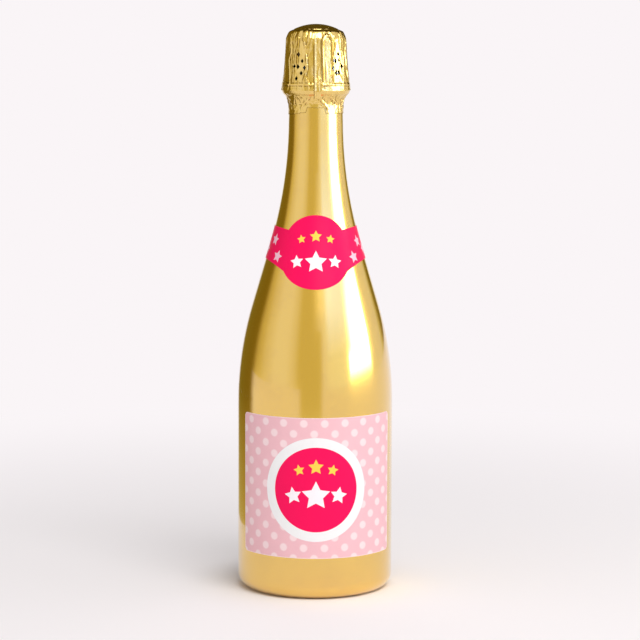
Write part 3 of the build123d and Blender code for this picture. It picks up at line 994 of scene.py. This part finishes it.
# Foil hood
# The bell of the same foil over cork and cage. It was pressed on by hand and roller, so it stands
# in upright pleats, shows the belt's eye and the belt as ridges, and gathers over the shoulder.
# Clusters of small diamond holes let the air out.
hood_route = [
    (10.6, 317.88), (15.1, 315.8), (16.8, 312.2), (17.1, 305), (18.1, 292), (19.15, 285.5), (19.45, 283.2),
]
hood_bends = [2.5, 8, 20, 15, 8]
strip_turn = radians(2.6)
strip_width = 3.9

hood_folds = [
    ([(-56.4, 314.3), (-53.0, 304.3), (-58.7, 300.4), (-49.9, 287.1)], 0.68, 0.42),
    ([(-47.0, 313.3), (-45.4, 304.3), (-46.8, 298.9), (-43.7, 288.1)], 0.5, 0.3),
    ([(-34.0, 312.4), (-37.1, 302.0), (-35.4, 297.3)], 0.5, 0.3),
    ([(-24.2, 311.8), (-19.7, 306.7), (-14.1, 309.6)], 0.5, 0.3),
    ([(-18.2, 303.2), (-15.7, 295.0), (-21.9, 288.8)], 0.5, 0.34),
    ([(-24.0, 291.0), (-15.0, 297.5)], 0.43, 0.24),
    ([(13.5, 289.0), (13.2, 311.0), (16.5, 313.2), (21.0, 313.9), (27.0, 313.5), (31.5, 310.6),
      (30.4, 288.0)], 0.62, 0.5),
    ([(36.6, 313.5), (38.0, 307.5), (34.9, 303.3)], 0.5, 0.3),
    ([(51.8, 314.3), (50.9, 306.7), (60.2, 302.3), (53.3, 287.9)], 0.68, 0.42),
    ([(77.7, 311.8), (69.6, 304.3), (74.5, 290.8)], 0.62, 0.4),
    ([(-72.0, 312.8), (-76.0, 303.3), (-70.5, 289.8)], 0.62, 0.4),
    ([(-64.0, 287.5), (-52.0, 286.0)], 0.56, 0.4),
]
for i in range(17):
    turn_at = 90 + i * 11.6
    heights = [maker.uniform(*reach) for reach in ((309, 315), (300, 306), (292, 298), (286.5, 290))]
    line = [(turn_at + maker.uniform(-4, 4), height) for height in heights]
    hood_folds.append((line, maker.uniform(0.45, 0.7), maker.uniform(0.22, 0.36)))
pleat_count = 27


def hood_relief(turn, radius, height):
    """How far the hood stands off its plain form."""
    lift = 1.25 * folds(turn, radius, height, hood_folds)
    lift += 0.22 * crumpled(turn, radius, height, 2.8, 5.0, 1.0) ** 3
    lift += 0.05 * crumpled(turn, radius, height, 1.8, 1.3, 6.0) ** 2
    # The gathers over the shoulder
    phase = turn * pleat_count / (2 * pi) + 0.45 * np.sin(3 * turn + 1) + 0.3 * np.sin(5 * turn)
    pleat = np.abs(np.mod(phase, 1) - 0.5) * 2
    lift += 0.36 * pleat * eased(height, 308.5, 312.5) * (1 - 0.55 * eased(height, 315.5, 317.8))
    # The belt under the foil, and the roll of the lip
    lift += 0.34 * np.clip(1 - np.abs(height - 286.6) / 0.8, 0, 1)
    lift += 0.16 * eased(284.4 - height, 0, 1.1) * (0.5 + 0.5 * np.sin(7 * turn + 0.6))
    # Drawn flat under the tear strip, and less folded at the sides, where the cage's legs hold it out
    off_strip = np.abs(np.mod(turn - strip_turn + pi, 2 * pi) - pi) * radius - strip_width / 2
    return 0.02 + lift * (0.1 + 0.9 * eased(off_strip, 0.1, 1.0)) * (1 - 0.5 * np.sin(turn) ** 8)


def slit_shadow(turn, radius, height):
    """A painted shadow where the foil was slit along the tear strip's left side."""
    from_left = (turn - strip_turn) * radius + strip_width / 2
    return np.clip(1.6 - np.abs(from_left) / 0.3, 0, 1) * eased(310 - height, 0, 3)


front_vents = [
    (-33.8, 303.2, 1.1), (-25.8, 299.6, 0.9), (-42.5, 296.6, 1.0), (-34.2, 296.4, 1.05), (-21.0, 295.9, 0.95),
    (-27.1, 292.9, 0.95), (-36.3, 289.9, 1.0), (45.6, 303.6, 1.05), (37.0, 299.9, 1.35), (46.1, 300.1, 0.8),
    (52.3, 296.7, 1.3), (32.4, 295.7, 1.1), (38.9, 293.0, 1.35), (44.2, 293.2, 1.2),
]
vent_diamond = [
    (0, 6.8), (2.4, 3.4), (-2.4, 3.4), (4.2, 0), (-4.2, 0), (0, 0), (2.1, -3.4), (-2.1, -3.4), (0, -6.8),
]
back_vents = []
for middle in (147, 223):
    back_vents += [(middle + degrees(x / 18), 296.5 + z, maker.uniform(0.85, 1.1)) for x, z in vent_diamond]
vent_wide, vent_tall, vent_depth = 2.1 * mm, 2.9 * mm, 4 * mm
vent_radius = 17.9 * mm

# Punches a diamond hole through the sheet at every loose point that has a vent size
punch, given, result = new_tree(
    "punched_diamonds",
    "Geometry",
    {"Sheet": "Geometry", "Width": "Float", "Height": "Float", "Depth": "Float", "Material": "Material"},
    {"Mesh": "Geometry"},
)
vent_size, parts = parted(punch, given["Sheet"], "vent_size", 0.1)
spot = add(punch, "ShaderNodeSeparateXYZ", {0: add(punch, "GeometryNodeInputPosition")})
facing_out = {"X": pi / 2, "Z": spot["X"].math("ARCTAN2", spot["Y"] * -1.0)}
facing_out = add(punch, "ShaderNodeCombineXYZ", facing_out)
size = {"X": given["Width"] * vent_size, "Y": given["Height"] * vent_size, "Z": 1.0}
diamond = {"Vertices": 4, "Radius": 0.5, "Depth": given["Depth"]}
stamps = {
    "Points": parts["Selection"],
    "Instance": add(punch, "GeometryNodeMeshCylinder", diamond),
    "Rotation": add(punch, "FunctionNodeEulerToRotation", {0: facing_out}),
    "Scale": add(punch, "ShaderNodeCombineXYZ", size),
}
stamps = add(punch, "GeometryNodeInstanceOnPoints", stamps)
stamps = add(punch, "GeometryNodeRealizeInstances", {"Geometry": stamps})
holed = {"Mesh 1": parts["Inverted"], "Mesh 2": stamps}
holed = add(punch, "GeometryNodeMeshBoolean", holed, operation="DIFFERENCE", solver="MANIFOLD")
delivered(punch, holed, given, result)

hood_turns = [2 * pi * i / 440 - pi for i in range(440)]
sheet_mesh = foil_sheet(
    "foil_hood_sheet", hood_route, hood_bends, hood_turns, 100, hood_relief, True, None, slit_shadow
)
seeds = bmesh.new()
seeds.from_mesh(sheet_mesh)
bmesh.ops.recalc_face_normals(seeds, faces=seeds.faces)
sizes = seeds.verts.layers.float.new("vent_size")
for turn, height, scale in front_vents + back_vents:
    vent = seeds.verts.new(standing([(vent_radius, height * mm)], radians(turn))[0])
    vent[sizes] = scale
seeds.to_mesh(sheet_mesh)
seeds.free()
vent_values = {"Width": vent_wide, "Height": vent_tall, "Depth": vent_depth, "Material": gold_foil}
foil_hood = grown("foil_hood_pleated", sheet_mesh, punch, vent_values, 45)
backed(foil_hood)
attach(foil_hood, "hood")
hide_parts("foil_hood")

# Top disc
# The round of foil that closes the hood: pressed over the plaque's dome, with its rim turned down
# and rolled over the gathers.
disc_crown, disc_dome, disc_edge = 320.2 * mm, 28.4 * mm, radians(25.2)
disc_line = [(0.0, disc_crown)]
swing(disc_line, 0, disc_dome, -disc_edge, radians(1.5))
rim_r, rim_z = disc_line[-1]
disc_line += [(rim_r + 0.35 * mm, rim_z - 0.35 * mm), (rim_r + 0.42 * mm, rim_z - 0.75 * mm)]
foil_top_disc = turned("foil_top_disc_pressed", with_thickness(disc_line, foil), gold_foil, crease=50)
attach(foil_top_disc, "hood")
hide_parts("foil_top_disc")

# Tear strip
# A narrow strip of the foil down the front, perforated along its left side, that ends in a free,
# squared tab. Pulled up, it opens the hood.
strip_route = [
    (17.1, 312.2), (17.36, 305), (18.36, 292), (19.44, 285.5), (19.72, 282.9), (18.75, 280.6), (18.0, 278.8),
]
strip_bends = [20, 15, 8, 1.5, 2]
perforation_gap, perforation_across = 0.72, -0.72


def strip_relief(turn, radius, height):
    """How far the strip stands off its plain form: a turned-up left edge, and a row of pricked dots."""
    across = (turn - strip_turn) * radius
    from_left = across + strip_width / 2
    lift = 0.45 * eased(from_left, 0, 0.36) * (1 - 0.75 * eased(from_left, 0.3, 1.5))
    lift += 0.08 * np.exp(-(((across - strip_width / 2) / 0.3) ** 2))
    dot = np.hypot(across - perforation_across, np.mod(height, perforation_gap) - perforation_gap / 2)
    lift += 0.1 * np.clip(1 - dot / 0.24, 0, 1) * eased(height, 281, 284)
    return lift + 0.09 * crumpled(turn, radius, height, 3.0, 2.6, 14.0) ** 2


strip_radius = 18.65
strip_half = strip_width / 2 / strip_radius
strip_turns = [strip_turn + strip_half * (i / 12 - 1) for i in range(25)]
strip_mesh = foil_sheet(
    "tear_strip_perforated", strip_route, strip_bends, strip_turns, 190, strip_relief, False, None, slit_shadow
)
tear_strip = backed(finished("tear_strip_perforated", strip_mesh, 45))
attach(tear_strip, "tear_strip")
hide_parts("tear_strip")

# Floor and light
# A pale sweep under and behind the bottle. A large soft box hangs high in front at the right, with
# lit cards below it. A black card stands behind at the left. Below it a brown card stands on the floor
# where the bottle's shadow falls, a painted reflection of that shade that only gloss shows. A grey card
# stands in front.
# Gloss shows a room with white walls, which end low at the back and are brown where they are dim.
pale = paint(250, 245, 247)
room_level = 0.66
# Level, and the colour of what has that level: the dim room is brown, and the daylight is bluish
tones = [
    (0.2, (1, 0.72, 0.05)), (0.72, (1, 0.9, 0.42)), (0.95, (1, 1, 1)), (1.1, (0.95, 1, 1)),
    (1.5, (0.7, 0.77, 1)), (2, (0.53, 0.63, 1)), (3, (0.37, 0.48, 1)), (4.5, (1, 1, 1)),
]
# Bearing, which is 0 behind the camera's back and grows to the right, and the level of the wall there
wall_levels = [
    (-180, 0.95), (-157, 0.95), (-151, 0.34), (-144, 0.25), (-128, 0.25), (-118, 0.33), (-108, 0.48),
    (-98, 0.66), (-85, 0.82), (-65, 0.95), (-45, 0.95), (-33, 0.86), (-24, 0.72), (-8, 0.7), (0, 0.76),
    (10, 0.9), (22, 1.05), (45, 1.1), (62, 1.0), (100, 0.92), (115, 0.9), (130, 0.84), (138, 0.55),
    (145, 0.2), (152, 0.2), (158, 0.95), (180, 0.95),
]


def flat_piece(name, half_wide, half_tall, material):
    """A rectangle round its own origin."""
    mesh = bpy.data.meshes.new(name)
    corners = [(x * half_wide, y * half_tall, 0) for x, y in ((-1, -1), (1, -1), (1, 1), (-1, 1))]
    mesh.from_pydata(corners, [], [(0, 1, 2, 3)])
    mesh.materials.append(material)
    return bpy.data.objects.new(name, mesh)


def ramp(value, stops):
    """The colour at a value, between stops of (value, colour)."""
    colour = add(value.tree, "ShaderNodeValToRGB", {0: value})
    elements = colour.node.color_ramp.elements
    while len(elements) < len(stops):
        elements.new(0.5)
    for element, (position, tint) in zip(elements, stops):
        element.position = position
        element.color = (*tint, 1)
    return colour


def toned(level):
    """The colour of a card or a wall of that level."""
    top = tones[-1][0]
    return ramp(level / top, [(place / top, tint) for place, tint in tones])


floor_material, tree, shader = new_material("pale_floor")
feed(shader, {"Base Color": paint(246, 241, 242), "Roughness": 0.8, "Specular IOR Level": 0.1})
off_axis = add(tree, "ShaderNodeVectorMath", {0: own_place(tree)}, operation="LENGTH")["Value"]
glowing = ranged(off_axis, 0.12, 0.65, 0.3, 1.0, "SMOOTHSTEP")
glowing *= ranged(off_axis, 0.045, 0.085, shape="SMOOTHSTEP")
glow = add(tree, "ShaderNodeEmission", {"Color": pale, "Strength": 1.0})
glow = add(tree, "ShaderNodeMixShader", {0: glowing, 1: Output(shader), 2: glow})
feed(tree.nodes["Material Output"], {"Surface": glow})
floor = flat_piece("floor", 6, 6, floor_material)
bpy.context.scene.collection.objects.link(floor)

world = bpy.data.worlds.new("studio")
bpy.context.scene.world = world
world.use_nodes = True
sky = world.node_tree
towards = add(sky, "ShaderNodeSeparateXYZ", {0: add(sky, "ShaderNodeTexCoord")["Generated"]})
bearing = towards["X"].math("ARCTAN2", towards["Y"] * -1.0)
walls = ramp(bearing / (2 * pi) + 0.5, [((angle + 180) / 360, (level,) * 3) for angle, level in wall_levels])
# The white ends low at the back, and overhead at the sides
white_end = ranged(bearing.math("ABSOLUTE"), radians(105), radians(140), 1.1, 0.09)
shiny = walls * ranged(towards["Z"] - white_end, -0.04, 0.06, 1.0, 0.1, "SMOOTHSTEP")
path = add(sky, "ShaderNodeLightPath")
room = add(sky, "ShaderNodeBackground", {"Color": (1, 1, 1, 1), "Strength": walls * room_level})
mirrored = add(sky, "ShaderNodeBackground", {"Color": toned(shiny), "Strength": shiny})
backdrop = add(sky, "ShaderNodeBackground", {"Color": pale, "Strength": 1.0})
in_gloss = path["Is Glossy Ray"].math("MAXIMUM", path["Is Transmission Ray"])
seen = add(sky, "ShaderNodeMixShader", {0: in_gloss, 1: room, 2: mirrored})
seen = add(sky, "ShaderNodeMixShader", {0: path["Is Camera Ray"], 1: seen, 2: backdrop})
feed(sky.nodes["World Output"], {"Surface": seen})


def facing_the_axis(made, bearing_degrees, height, distance, aim_height):
    """Puts a lamp or a card at a bearing from the camera's side, turned to a height on the bottle's axis."""
    turn = radians(bearing_degrees)
    centre = Vector((sin(turn) * distance, -cos(turn) * distance, height))
    aim = Vector((0, 0, aim_height)) - centre
    made.matrix_world = Matrix.Translation(centre) @ aim.to_track_quat("-Z", "Y").to_matrix().to_4x4()
    bpy.context.scene.collection.objects.link(made)


def soft_box(name, bearing_degrees, height, aim_height, distance, width, tall, level, in_gloss):
    """A rectangular lamp of an even level, which gloss shows or doesn't."""
    lamp = bpy.data.lights.new(name, "AREA")
    lamp.shape = "RECTANGLE"
    lamp.size = width
    lamp.size_y = tall
    lamp.energy = level * pi * width * tall
    holder = bpy.data.objects.new(name, lamp)
    holder.visible_glossy = in_gloss
    facing_the_axis(holder, bearing_degrees, height, distance, aim_height)


def lit_card(name, bearing_degrees, low, high, distance, width, levels, soft, soft_ends=0.0005):
    """An upright card that only gloss shows, with a level at its low and at its high end, and soft rims."""
    cloth, tree, shader = new_material(name + "_cloth")
    half_wide, half_tall, middle = width / 2, (high - low) / 2, (low + high) / 2
    place = add(tree, "ShaderNodeSeparateXYZ", {0: own_place(tree)})
    there = add(tree, "ShaderNodeLightPath")["Is Glossy Ray"]
    for axis, half, rim in (("X", half_wide, soft), ("Y", half_tall, soft_ends)):
        there *= ranged(place[axis].math("ABSOLUTE"), half - rim, half, 1.0, 0.0, "SMOOTHSTEP")
    level = ranged(place["Y"], -half_tall, half_tall, *levels)
    lit = add(tree, "ShaderNodeEmission", {"Color": toned(level), "Strength": level})
    clear = add(tree, "ShaderNodeBsdfTransparent")
    shown = add(tree, "ShaderNodeMixShader", {0: there, 1: clear, 2: lit})
    feed(tree.nodes["Material Output"], {"Surface": shown})
    cloth.cycles.emission_sampling = "NONE"
    card = flat_piece(name, half_wide, half_tall, cloth)
    card.visible_camera = False
    card.visible_shadow = False
    facing_the_axis(card, bearing_degrees, middle, distance, middle)


# Bearing in degrees, height, height aimed at, distance, width, tallness, level, seen in gloss
soft_box("soft_box_front", 24, 1.25, 0.15, 1.0, 1.0, 0.8, 5.6, True)
soft_box("soft_box_right", 76, 0.4, 0.4, 0.9, 0.86, 0.5, 0.8, False)
# Bearing in degrees, low end, high end, distance, width, level at each end, softness of sides and ends
lit_card("card_right", 74, 0.12, 0.6, 0.9, 0.74, (9.0, 6.0), 0.05, 0.09)
lit_card("card_front_right", 38, 0.2, 0.5, 0.5, 0.44, (1.0, 3.2), 0.1, 0.04)
lit_card("black_card_left", -124, 0.086, 0.6, 0.2, 0.24, (0.22, 0.22), 0.05)
# Painted reflection of shade: a brown card low on the floor where the bottle's shadow falls, seen only in
# gloss
lit_card("brown_card_left", -124, 0.0, 0.09, 0.2, 0.24, (0.5, 0.22), 0.05)
lit_card("grey_card_front", -6, 0.0, 0.35, 0.6, 0.42, (0.72, 0.72), 0.09)
